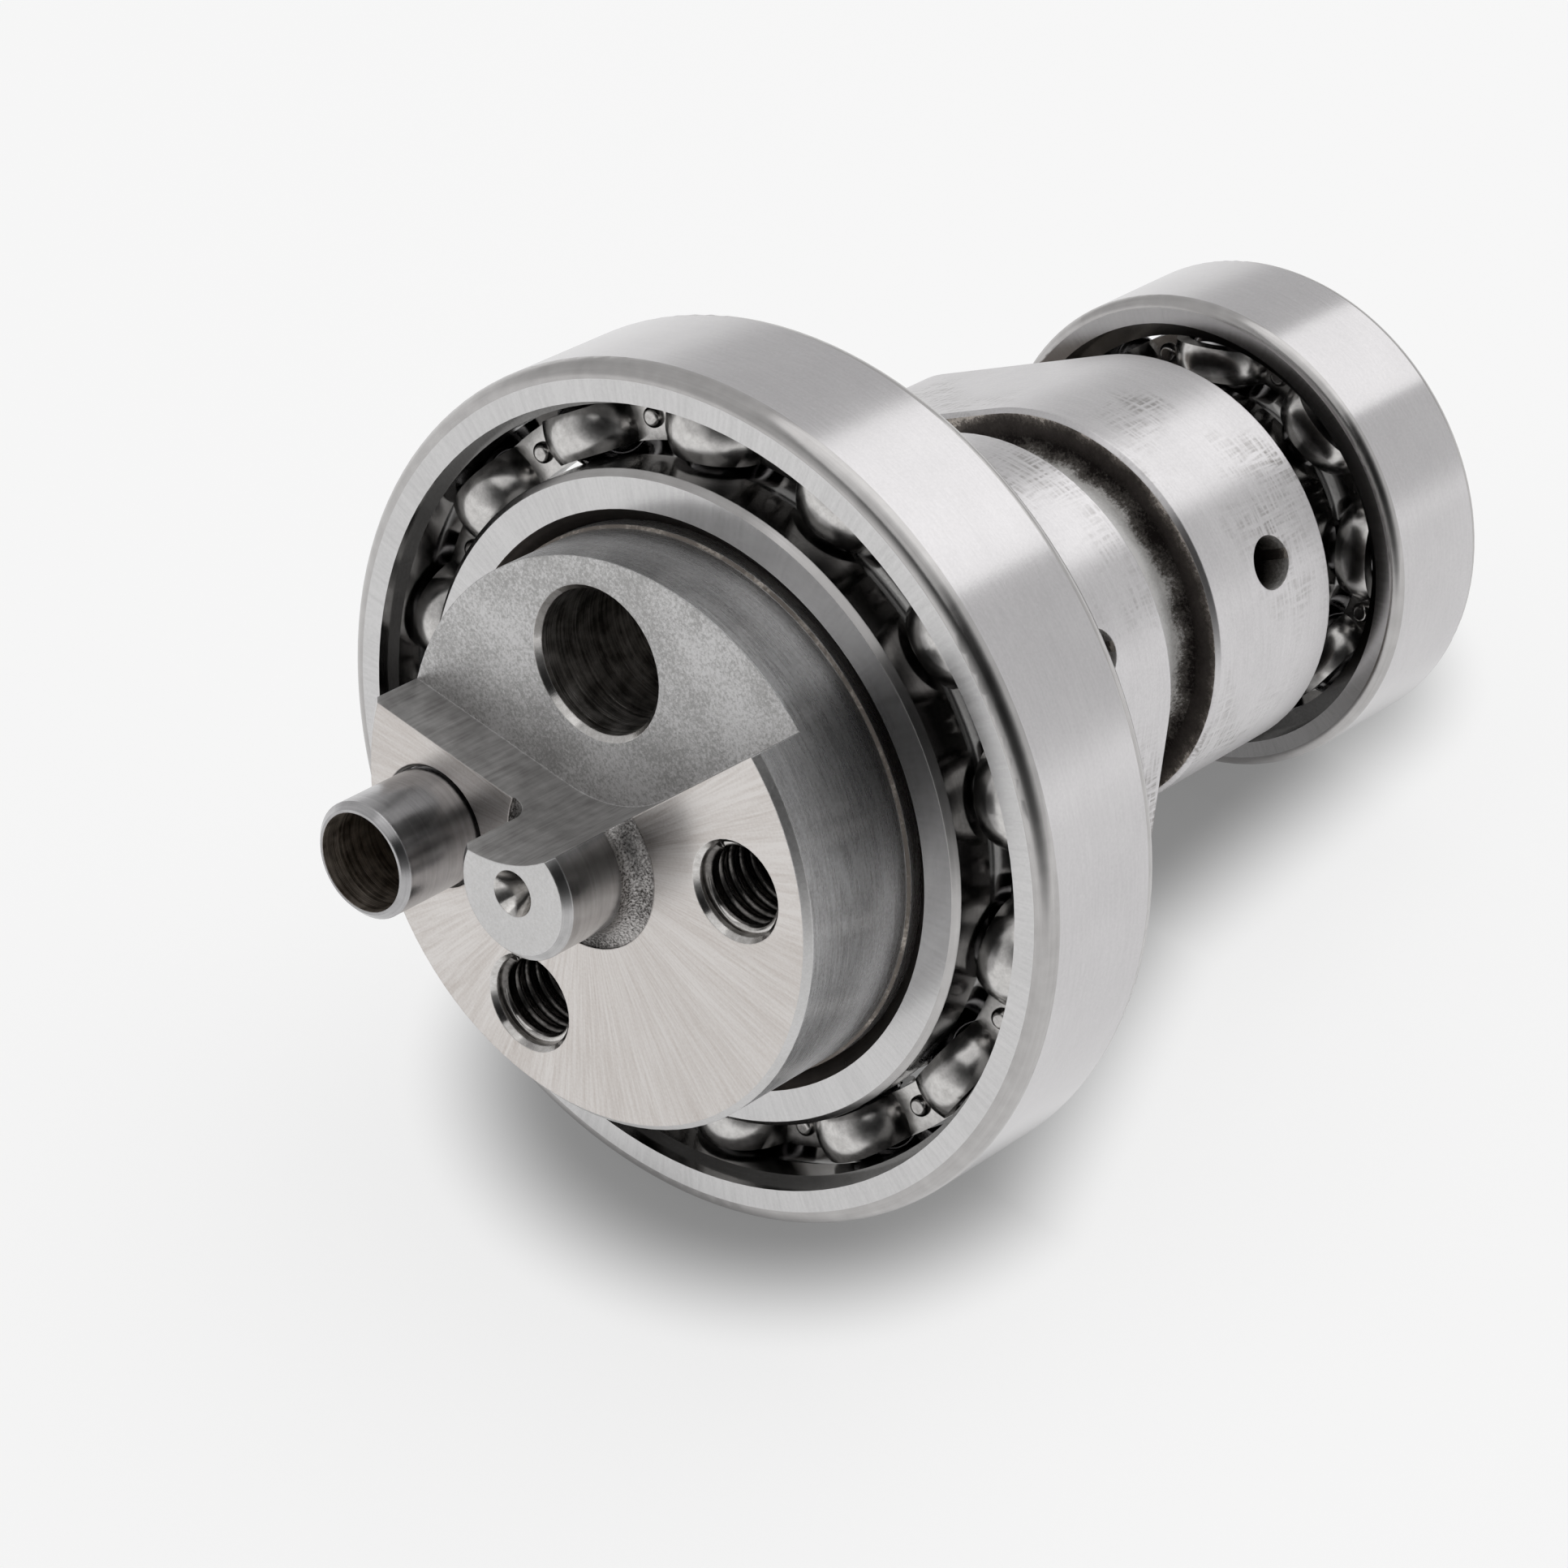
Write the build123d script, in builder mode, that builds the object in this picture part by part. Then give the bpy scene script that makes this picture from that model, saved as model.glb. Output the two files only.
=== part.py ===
import os
from math import cos, radians, sin, tan

from build123d import *

os.makedirs("parts", exist_ok=True)

# A single-cylinder engine's camshaft with its two open ball bearings, in millimetres.
# It stands on its rear end: Z runs along the shaft from the rear face to the nose.

# Front ball bearing, a thin 30 x 47 x 9 series: each ring's wall at its lands, and the gap
# between the lands that the balls and the cage stand in
front_bore = 30.0
front_width = 9.0
front_inner_wall = 2.85
front_outer_wall = 2.5
front_land_gap = 3.15
front_ball = 4.762
front_balls = 14
front_phase = 16.1
front_rim_step = 0.4
front_edge = 0.9
front_bore_chamfer = 0.8
front_land_chamfer = 0.35
front_cage_clearance = 0.35

# Rear ball bearing, a 12 x 28 x 8 series
rear_bore = 12.0
rear_width = 8.0
rear_inner_wall = 2.5
rear_outer_wall = 2.5
rear_land_gap = 3.0
rear_ball = 4.762
rear_balls = 8
rear_phase = 11.5
rear_rim_step = 1.0
rear_edge = 0.6
rear_bore_chamfer = 0.4
rear_land_chamfer = 0.2
rear_cage_clearance = 0.5

# Both bearings
rim_depth = 1.1
groove_ratio = 1.04
ball_clearance = 0.05
pocket_clearance = 0.1
sheet = 0.6
ribbon_gap = 0.02
rivet_shank = 0.7
rivet_head = 1.15
rivet_head_height = 0.35
rivet_round = 0.28

# Lengths along the shaft, from the rear end forward
rear_shoulder_length = 3.1
lobe_width = 10.6
neck_length = 4.1
front_neck_length = 4.2
collar_length = 2.5
nose_length = 7.75
stub_length = 5.0

# Diameters of the shaft, and the steps that the inner rings seat against
shoulder_step = 2.2
collar_step = 2.0
neck = 18.8
neck_fillet = 0.9
front_neck = 22.0
seat_overrun = 0.05
nose_relief = 0.15
nose_chamfer = 0.35
end_chamfer = 0.5
stub = 7.4
stub_chamfer = 0.4
stub_fillet = 1.2
stub_undercut = 0.15
centre_hole = 2.5
centre_hole_angle = 60.0

# Cam lobes
base_circle = 23.4
lobe_lift = 7.4
lobe_nose_radius = 5.0
lobe_edge = 0.25
rear_lobe_angle = 44.0
front_lobe_angle = 164.0

# Oil gallery and its outlets on the base circles
gallery = 5.0
gallery_end_margin = 2.0
oil_hole = 3.0
oil_angle = -106.3
rear_oil_offset = -0.4
front_oil_offset = 0.5

# Pocket milled into the nose, with the bore that a pivot pin sits in
pocket_angle = -26.5
pocket_centre_radius = 9.15
pocket_radius = 7.6
pocket_half_angle = 64.2
pocket_depth = 3.3
pivot_bore = 7.8
pivot_bore_depth = 12.0
pivot_bore_chamfer = 0.3

# Sprocket seat: two threaded holes and a hollow dowel on one circle, a wall in from the rim
dowel_wall = 1.5
dowel_angle = 61.2
bolt_angles = (121.2, 241.2)
thread_major = 5.0
thread_depth = 11.0
thread_mouth = 5.5
dowel = 6.4
dowel_bore = 5.4
dowel_seat_depth = 6.0
dowel_height = 5.3
dowel_chamfer = 0.35
dowel_seat_chamfer = 0.2
dowel_relief_width = 0.6
dowel_relief_depth = 0.2
dowel_relief_rise = 0.1

# Diameters worked out from the walls, gaps and steps
front_inner_land = front_bore + 2 * front_inner_wall
front_pitch = front_inner_land + front_land_gap
front_outer_land = front_pitch + front_land_gap
front_od = front_outer_land + 2 * front_outer_wall
front_ribbon = front_land_gap - 2 * front_cage_clearance
rear_inner_land = rear_bore + 2 * rear_inner_wall
rear_pitch = rear_inner_land + rear_land_gap
rear_outer_land = rear_pitch + rear_land_gap
rear_od = rear_outer_land + 2 * rear_outer_wall
rear_ribbon = rear_land_gap - 2 * rear_cage_clearance
rear_shoulder = rear_bore + 2 * shoulder_step
collar = front_bore + 2 * collar_step
nose = front_bore - 2 * nose_relief
bolt_circle = front_bore - dowel - 2 * dowel_wall

# Stations along Z, worked out from the lengths
rear_lobe_z = rear_width + rear_shoulder_length
rear_lobe_top = rear_lobe_z + lobe_width
front_lobe_z = rear_lobe_top + neck_length
front_lobe_top = front_lobe_z + lobe_width
collar_z = front_lobe_top + front_neck_length
front_bearing_z = collar_z + collar_length
nose_z = front_bearing_z + front_width + nose_length
stub_z = nose_z + stub_length
pocket_floor_z = nose_z - pocket_depth


def polar(radius, angle, z=0.0):
    return Vector(radius * cos(radians(angle)), radius * sin(radians(angle)), z)


def outer_ring(od, land, rim_step, width, edge, pitch, ball, z):
    """Outer ring: a deep groove between two lands, with a shallow step next to each face."""
    middle = z + width / 2
    rim = land + 2 * rim_step
    groove = ball * groove_ratio / 2
    groove_x = (pitch + ball) / 2 + ball_clearance - groove
    with BuildPart() as ring:
        with BuildSketch(Plane.XZ) as section:
            with Locations(((od + land) / 4, middle)):
                Rectangle((od - land) / 2, width)
            fillet(section.vertices().group_by(Axis.X)[-1], edge)
            for face_z in (z + rim_depth / 2, z + width - rim_depth / 2):
                with Locations((rim / 4, face_z)):
                    Rectangle(rim / 2, rim_depth, mode=Mode.SUBTRACT)
            with Locations((groove_x, middle)):
                Circle(groove, mode=Mode.SUBTRACT)
        revolve(axis=Axis.Z)
    return ring.part


def inner_ring(bore, land, width, bore_chamfer, land_chamfer, pitch, ball, z):
    """Inner ring: a deep groove on the outside, chamfered corners in the bore and on the lands."""
    middle = z + width / 2
    groove = ball * groove_ratio / 2
    groove_x = (pitch - ball) / 2 - ball_clearance + groove
    with BuildPart() as ring:
        with BuildSketch(Plane.XZ) as section:
            with Locations(((bore + land) / 4, middle)):
                Rectangle((land - bore) / 2, width)
            chamfer(section.vertices().group_by(Axis.X)[0], bore_chamfer)
            chamfer(section.vertices().group_by(Axis.X)[-1], land_chamfer)
            with Locations((groove_x, middle)):
                Circle(groove, mode=Mode.SUBTRACT)
        revolve(axis=Axis.Z)
    return ring.part


def ball_at(pitch, ball, angle, z):
    with BuildPart() as sphere:
        with Locations(polar(pitch / 2, angle, z)):
            Sphere(ball / 2)
    return sphere.part


def cage_half(pitch, ball, count, phase, ribbon, z, side):
    """One pressed ribbon: flat webs between the balls and a domed cup around each of them."""
    cup_inside = ball / 2 + pocket_clearance
    web = Plane((0, 0, z + side * ribbon_gap / 2), z_dir=(0, 0, side))
    first = side * phase
    with BuildPart(web) as half:
        with PolarLocations(pitch / 2, count, start_angle=first):
            Sphere(cup_inside + sheet)
        with PolarLocations(pitch / 2, count, start_angle=first):
            Sphere(cup_inside, mode=Mode.SUBTRACT)
        with BuildSketch(web):
            Circle((pitch + ribbon) / 2)
            Circle((pitch - ribbon) / 2, mode=Mode.SUBTRACT)
        extrude(amount=cup_inside + 2 * sheet, mode=Mode.INTERSECT)
        with BuildSketch(web):
            Circle((pitch + ribbon) / 2)
            Circle((pitch - ribbon) / 2, mode=Mode.SUBTRACT)
            with PolarLocations(pitch / 2, count, start_angle=first):
                Circle(cup_inside + sheet / 2, mode=Mode.SUBTRACT)
            with PolarLocations(pitch / 2, count, start_angle=first + 180 / count):
                Circle(rivet_shank / 2, mode=Mode.SUBTRACT)
        extrude(amount=sheet)
    return half.part


def cage_rivets(pitch, count, phase, z):
    """Round headed rivets through both ribbons, one between each pair of balls."""
    under_head = sheet + ribbon_gap / 2
    with BuildPart() as rivets:
        with BuildSketch(Plane.XY.offset(z)):
            with PolarLocations(pitch / 2, count, start_angle=phase + 180 / count):
                Circle(rivet_shank / 2)
        extrude(amount=under_head, both=True)
        for side in (1, -1):
            head = Plane((0, 0, z + side * under_head), z_dir=(0, 0, side))
            with BuildSketch(head):
                with PolarLocations(pitch / 2, count, start_angle=side * (phase + 180 / count)):
                    Circle(rivet_head / 2)
            extrude(amount=rivet_head_height)
        fillet(rivets.faces().group_by(Axis.Z)[-1].edges(), rivet_round)
        fillet(rivets.faces().group_by(Axis.Z)[0].edges(), rivet_round)
    return rivets.part


def cam_lobe(angle, z):
    """Straight-flanked lobe: the outline wrapped around the base circle and the nose circle."""
    nose_centre = base_circle / 2 + lobe_lift - lobe_nose_radius
    with BuildPart() as lobe:
        with BuildSketch(Plane.XY.offset(z)):
            Circle(base_circle / 2)
            with Locations(polar(nose_centre, angle)):
                Circle(lobe_nose_radius)
            make_hull()
        extrude(amount=lobe_width)
        chamfer(lobe.faces().filter_by(Axis.Z).edges(), lobe_edge)
    return lobe.part


# Camshaft body: turned core, two lobes, oilways, nose pocket and sprocket seat
rear_lobe = cam_lobe(rear_lobe_angle, rear_lobe_z)
front_lobe = cam_lobe(front_lobe_angle, front_lobe_z)

with BuildPart() as camshaft:
    with BuildSketch(Plane.XZ):
        with BuildLine():
            rear_r, shoulder_r, neck_r = rear_bore / 2, rear_shoulder / 2, neck / 2
            seat_r, nose_r, stub_r, collar_r = front_bore / 2, nose / 2, stub / 2, collar / 2
            seat_end_z = front_bearing_z + front_width + seat_overrun
            undercut_z = nose_z - stub_undercut
            Polyline(
                (0, 0),
                (rear_r - end_chamfer, 0),
                (rear_r, end_chamfer),
                (rear_r, rear_width),
                (shoulder_r, rear_width),
                (shoulder_r, rear_lobe_z),
                (neck_r + neck_fillet, rear_lobe_z),
                (neck_r + neck_fillet, rear_lobe_top),
            )
            RadiusArc(
                (neck_r + neck_fillet, rear_lobe_top),
                (neck_r, rear_lobe_top + neck_fillet),
                neck_fillet,
            )
            Line((neck_r, rear_lobe_top + neck_fillet), (neck_r, front_lobe_z - neck_fillet))
            RadiusArc(
                (neck_r, front_lobe_z - neck_fillet),
                (neck_r + neck_fillet, front_lobe_z),
                neck_fillet,
            )
            Polyline(
                (neck_r + neck_fillet, front_lobe_z),
                (front_neck / 2, front_lobe_z),
                (front_neck / 2, collar_z),
                (collar_r, collar_z),
                (collar_r, front_bearing_z),
                (seat_r, front_bearing_z),
                (seat_r, seat_end_z),
                (nose_r, seat_end_z + nose_relief),
                (nose_r, nose_z - nose_chamfer),
                (nose_r - nose_chamfer, nose_z),
                (stub_r + stub_fillet, nose_z),
                (stub_r + stub_fillet, undercut_z),
            )
            RadiusArc(
                (stub_r + stub_fillet, undercut_z),
                (stub_r, undercut_z + stub_fillet),
                stub_fillet,
            )
            Polyline(
                (stub_r, undercut_z + stub_fillet),
                (stub_r, stub_z - stub_chamfer),
                (stub_r - stub_chamfer, stub_z),
                (0, stub_z),
                (0, 0),
            )
        make_face()
    revolve(axis=Axis.Z)
    add(rear_lobe)
    add(front_lobe)

    # Swept clearance for the swinging piece: two walls tangent to one round sweep
    pocket_centre = polar(pocket_centre_radius, pocket_angle)
    reach = 2 * front_bore
    walls = [pocket_angle - pocket_half_angle, pocket_angle + pocket_half_angle]
    tangents = [
        pocket_centre + polar(pocket_radius, walls[0] - 90),
        pocket_centre + polar(pocket_radius, walls[1] + 90),
    ]
    with BuildSketch(Plane.XY.offset(pocket_floor_z)):
        with BuildLine():
            Polyline(
                tangents[0],
                tangents[0] + polar(reach, walls[0]),
                pocket_centre + polar(reach, pocket_angle),
                tangents[1] + polar(reach, walls[1]),
                tangents[1],
                close=True,
            )
        make_face()
        with Locations(pocket_centre):
            Circle(pocket_radius)
    extrude(amount=pocket_depth + stub_length, mode=Mode.SUBTRACT)

    with BuildSketch(Plane.XY.offset(pocket_floor_z)):
        with Locations(pocket_centre):
            Circle(pivot_bore / 2)
    extrude(amount=-pivot_bore_depth, mode=Mode.SUBTRACT)
    mouth_z = pocket_floor_z - pivot_bore_chamfer / 2
    mouth_r = pivot_bore / 2 + pivot_bore_chamfer
    with Locations((pocket_centre.X, pocket_centre.Y, mouth_z)):
        Cone(pivot_bore / 2, mouth_r, pivot_bore_chamfer, mode=Mode.SUBTRACT)

    with Locations(Plane.XY.offset(nose_z)):
        with Locations(*[polar(bolt_circle / 2, angle) for angle in bolt_angles]):
            CounterSinkHole(thread_major / 2, thread_mouth / 2, depth=thread_depth)
        with Locations(polar(bolt_circle / 2, dowel_angle)):
            CounterSinkHole(dowel / 2, dowel / 2 + dowel_seat_chamfer, depth=dowel_seat_depth)

    centre_depth = centre_hole / 2 / tan(radians(centre_hole_angle / 2))
    with Locations((0, 0, stub_z - centre_depth / 2)):
        Cone(0, centre_hole / 2, centre_depth, mode=Mode.SUBTRACT)

    gallery_top = front_lobe_top - gallery_end_margin
    with BuildSketch(Plane.XY):
        Circle(gallery / 2)
    extrude(amount=gallery_top, mode=Mode.SUBTRACT)
    for outlet_z in (
        rear_lobe_z + lobe_width / 2 + rear_oil_offset,
        front_lobe_z + lobe_width / 2 + front_oil_offset,
    ):
        outlet = Plane((0, 0, outlet_z), x_dir=(0, 0, 1), z_dir=polar(1, oil_angle))
        with BuildSketch(outlet):
            Circle(oil_hole / 2)
        extrude(amount=base_circle / 2 + oil_hole, mode=Mode.SUBTRACT)

camshaft.part.label = "camshaft"
export_step(camshaft.part, "parts/camshaft.step")

# Hollow locating dowel, pressed into its seat beside the pocket, with a fine relief groove
# where it leaves the face
dowel_place = polar(bolt_circle / 2, dowel_angle, nose_z - dowel_seat_depth)
with BuildPart() as locating_dowel:
    with BuildSketch(Plane(dowel_place)):
        Circle(dowel / 2)
        Circle(dowel_bore / 2, mode=Mode.SUBTRACT)
    extrude(amount=dowel_seat_depth + dowel_height)
    rims = locating_dowel.edges().filter_by(GeomType.CIRCLE).sort_by(SortBy.RADIUS)[-2:]
    chamfer(rims, dowel_chamfer)
    relief_start = dowel_seat_depth + dowel_relief_rise - dowel_relief_width
    with BuildSketch(Plane(dowel_place).offset(relief_start)):
        Circle(dowel / 2)
        Circle(dowel / 2 - dowel_relief_depth, mode=Mode.SUBTRACT)
    extrude(amount=dowel_relief_width, mode=Mode.SUBTRACT)

locating_dowel.part.label = "locating_dowel"
export_step(locating_dowel.part, "parts/locating_dowel.step")


def write_bearing(name, rings, balls, cage):
    """Label and write every piece of one bearing, each as a node of its own."""
    pieces = dict(rings)
    pieces.update({f"{name}_ball_{i + 1:02d}": ball for i, ball in enumerate(balls)})
    pieces.update(cage)
    for label, piece in pieces.items():
        piece.label = label
        export_step(piece, f"parts/{label}.step")


front_middle = front_bearing_z + front_width / 2
write_bearing(
    "front",
    {
        "front_outer_ring": outer_ring(
            front_od, front_outer_land, front_rim_step, front_width, front_edge,
            front_pitch, front_ball, front_bearing_z,
        ),
        "front_inner_ring": inner_ring(
            front_bore, front_inner_land, front_width, front_bore_chamfer,
            front_land_chamfer, front_pitch, front_ball, front_bearing_z,
        ),
    },
    [
        ball_at(front_pitch, front_ball, front_phase + i * 360 / front_balls, front_middle)
        for i in range(front_balls)
    ],
    {
        "front_cage_nose_side": cage_half(
            front_pitch, front_ball, front_balls, front_phase, front_ribbon, front_middle, 1
        ),
        "front_cage_lobe_side": cage_half(
            front_pitch, front_ball, front_balls, front_phase, front_ribbon, front_middle, -1
        ),
        "front_cage_rivets": cage_rivets(front_pitch, front_balls, front_phase, front_middle),
    },
)

rear_middle = rear_width / 2
write_bearing(
    "rear",
    {
        "rear_outer_ring": outer_ring(
            rear_od, rear_outer_land, rear_rim_step, rear_width, rear_edge,
            rear_pitch, rear_ball, 0,
        ),
        "rear_inner_ring": inner_ring(
            rear_bore, rear_inner_land, rear_width, rear_bore_chamfer,
            rear_land_chamfer, rear_pitch, rear_ball, 0,
        ),
    },
    [
        ball_at(rear_pitch, rear_ball, rear_phase + i * 360 / rear_balls, rear_middle)
        for i in range(rear_balls)
    ],
    {
        "rear_cage_lobe_side": cage_half(
            rear_pitch, rear_ball, rear_balls, rear_phase, rear_ribbon, rear_middle, 1
        ),
        "rear_cage_end_side": cage_half(
            rear_pitch, rear_ball, rear_balls, rear_phase, rear_ribbon, rear_middle, -1
        ),
        "rear_cage_rivets": cage_rivets(rear_pitch, rear_balls, rear_phase, rear_middle),
    },
)
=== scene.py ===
import math

import bmesh
import bpy
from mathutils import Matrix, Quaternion, Vector


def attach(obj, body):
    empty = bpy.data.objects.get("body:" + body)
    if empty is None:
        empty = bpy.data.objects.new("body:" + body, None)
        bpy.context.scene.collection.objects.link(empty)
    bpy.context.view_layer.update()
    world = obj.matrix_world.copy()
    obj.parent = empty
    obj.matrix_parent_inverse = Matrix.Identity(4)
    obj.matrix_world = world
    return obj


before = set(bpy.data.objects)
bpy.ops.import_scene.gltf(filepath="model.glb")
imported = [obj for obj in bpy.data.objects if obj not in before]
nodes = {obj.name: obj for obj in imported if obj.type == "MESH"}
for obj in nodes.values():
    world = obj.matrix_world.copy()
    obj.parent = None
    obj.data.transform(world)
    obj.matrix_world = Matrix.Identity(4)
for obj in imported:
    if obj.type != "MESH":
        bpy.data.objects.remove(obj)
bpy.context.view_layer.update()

MM = 0.001

# Sizes of the shaft and its bearings that finishes and fitted pieces go by, in millimetres and
# degrees: bearings and lobes as spans along the shaft, the rest as heights, lengths, radii and
# angles
REAR_BEARING = (0.0, 8.0)
REAR_LOBE = (11.1, 21.7)
FRONT_LOBE = (25.8, 36.4)
FRONT_BEARING = (43.1, 52.1)
POCKET_FLOOR = 56.55
POCKET_SWEEP = 7.6
NOSE_FACE = 59.85
NOSE_RIM = 14.0
STUB_RADIUS, STUB_LENGTH = 3.7, 5.0
STUB_ROOT, STUB_UNDERCUT = 1.2, 0.15
CENTRE_DRILL = 1.25
BASE_RADIUS = 11.7
GALLERY_RADIUS = 2.5
OIL_MOUTH_DEPTH = 1.3
BOLT_CIRCLE = 10.3
BOLT_ANGLES = (121.2, 241.2)
DOWEL_ANGLE = 61.2
DOWEL_SEAT, DOWEL_BORE = 3.4, 2.7
PIVOT_RADIUS, PIVOT_ANGLE, PIVOT_BORE = 9.15, -26.5, 3.9
THREAD_OUTSIDE, THREAD_CREST, THREAD_PITCH = 2.5, 2.1, 0.8
THREAD_TOP, THREAD_LENGTH = 59.2, 9.6
THREAD_MOUTH = 2.8
RING_CORNER = 0.5
# The furthest that a chamfer or a hole's mouth on the nose reaches
CHAMFER_REACH = 0.4
# Heights just below the ends of the nose's holes
BOLT_HOLE_END, DOWEL_HOLE_END, PIVOT_HOLE_END = 48.0, 53.0, 44.0

# Margins by which the centre of a face counts as on a plane, in a hole or clear of either
HAIR, TOUCH, SLACK = 0.01, 0.05, 0.1
# Shares of a face's normal, along the shaft or outwards, from which the face counts as flat, as
# straight that way, as leaning and as slanted; below the last it stands upright
FLAT, STRAIGHT, LEANING, SLANTED, UPRIGHT = 0.98, 0.9, 0.5, 0.3, 0.1
# The same for rings, whose rounded corners run into their faces and sides without an edge: flat,
# facing outwards at all, and below the last a round side
RING_FLAT, RING_OUTWARD, RING_SIDE = 0.999, 0.05, 0.01

# Radius that edges which are sharp in the solids are shaded with, in millimetres
EDGE_BREAK = 0.1
CHATTER_SHADE = "#77736F"

# A thread's ridge: half widths of its foot and its crest as shares of the pitch, how deep its foot
# is sunk into the wall as a share of its depth, and the steps of a turn, for the mouth too
RIDGE_FOOT, RIDGE_CREST, RIDGE_SUNK = 0.47, 0.07, 0.2
RIDGE_STEPS, MOUTH_STEPS = 36, 72

# Sizes of patterns, in millimetres. Real grinding marks are 0.01 to 0.05 mm apart, too fine to
# show in the render, so hoops, face lines, grain and chatter are drawn as coarse as they need to
# show. The spacing of lines that run outwards is given at a radius; they change along their run
# by a share per millimetre, and broad ones lie under them, so many times as wide
GRIND_DEPTH = 0.0009
GRIND_GRAIN, GRIND_CLOUD = 0.15, 4.0
CHATTER_LINE, CHATTER_PATCH = 0.2, 7.7
LINE_RADIUS, LINE_CHANGE, LINE_BROADER = 15.0, 0.005, 8
STAIN = 1.1
MOTTLE_CLOUD = 3.3
SCALE_GRIT, SCALE_CLOUD = 0.18, 1.7
# Widths of marks as shares of their lengths: ground hoops, turned or drilled rings, streaks of a
# side-cut wall, and the axial lines and hoops of chatter
HOOP_SHARE, CUT_SHARE, WALL_SHARE = 0.06, 0.015, 0.06
AXIAL_SHARE, AROUND_SHARE = 0.12, 0.1


def linear(code):
    """An sRGB hex colour as the linear RGBA that a shader takes."""
    parts = [int(code[i:i + 2], 16) / 255 for i in (1, 3, 5)]
    return [c / 12.92 if c <= 0.04045 else ((c + 0.055) / 1.055) ** 2.4 for c in parts] + [1.0]


def add(tree, kind, inputs=None, stops=(), **settings):
    """Adds a node with its settings, fills its inputs with values or links, and sets a ramp's
    (position, sRGB hex) stops."""
    node = tree.nodes.new(kind)
    for name, value in settings.items():
        setattr(node, name, value)
    for key, value in (inputs or {}).items():
        socket = node.inputs[key]
        if isinstance(value, bpy.types.NodeSocket):
            tree.links.new(value, socket)
        else:
            socket.default_value = value
    for i, (place, code) in enumerate(stops):
        element = node.color_ramp.elements[i] if i < 2 else node.color_ramp.elements.new(place)
        element.position, element.color = place, linear(code)
    return node


def new_material(name):
    """A material without nodes yet, and its tree."""
    made = bpy.data.materials.new(name)
    made.use_nodes = True
    made.node_tree.nodes.clear()
    return made, made.node_tree


def millimetres(tree, stretch=(1, 1, 1)):
    """Object coordinates in millimetres, each axis stretched by its own factor."""
    place = add(tree, "ShaderNodeTexCoord").outputs["Object"]
    scale = [s / MM for s in stretch]
    return add(tree, "ShaderNodeMapping", {"Vector": place, "Scale": scale}).outputs["Vector"]


def relief(tree, height, depth, edge=EDGE_BREAK):
    """Normal of tool marks, their depth in millimetres. Edges that are sharp in the solid are
    broken by an edge radius, so that they catch a thin line of light, as real ones do."""
    inputs = {"Height": height, "Distance": depth * MM, "Strength": 1.0}
    if edge:
        broken = add(tree, "ShaderNodeBevel", {"Radius": edge * MM}, samples=4)
        inputs["Normal"] = broken.outputs["Normal"]
    return add(tree, "ShaderNodeBump", inputs).outputs["Normal"]


def steel(tree, colour, rough, normal, **inputs):
    """Bare steel with a colour, a roughness and the relief of its tool marks."""
    inputs.update({"Base Color": colour, "Roughness": rough, "Normal": normal, "Metallic": 1.0})
    shader = add(tree, "ShaderNodeBsdfPrincipled", inputs)
    add(tree, "ShaderNodeOutputMaterial", {"Surface": shader.outputs["BSDF"]})


def smear_along_shaft(tree):
    """Direction that a highlight smears in over marks that run around the shaft."""
    place = millimetres(tree, stretch=(1, 1, 0))
    hoop = add(tree, "ShaderNodeVectorMath", {
        0: place, 1: (0, 0, -1)}, operation="CROSS_PRODUCT").outputs[0]
    facing = add(tree, "ShaderNodeNewGeometry").outputs["Normal"]
    across = add(tree, "ShaderNodeVectorMath", {
        0: facing, 1: hoop}, operation="CROSS_PRODUCT").outputs[0]
    return add(tree, "ShaderNodeVectorMath", {0: across}, operation="NORMALIZE").outputs[0]


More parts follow.
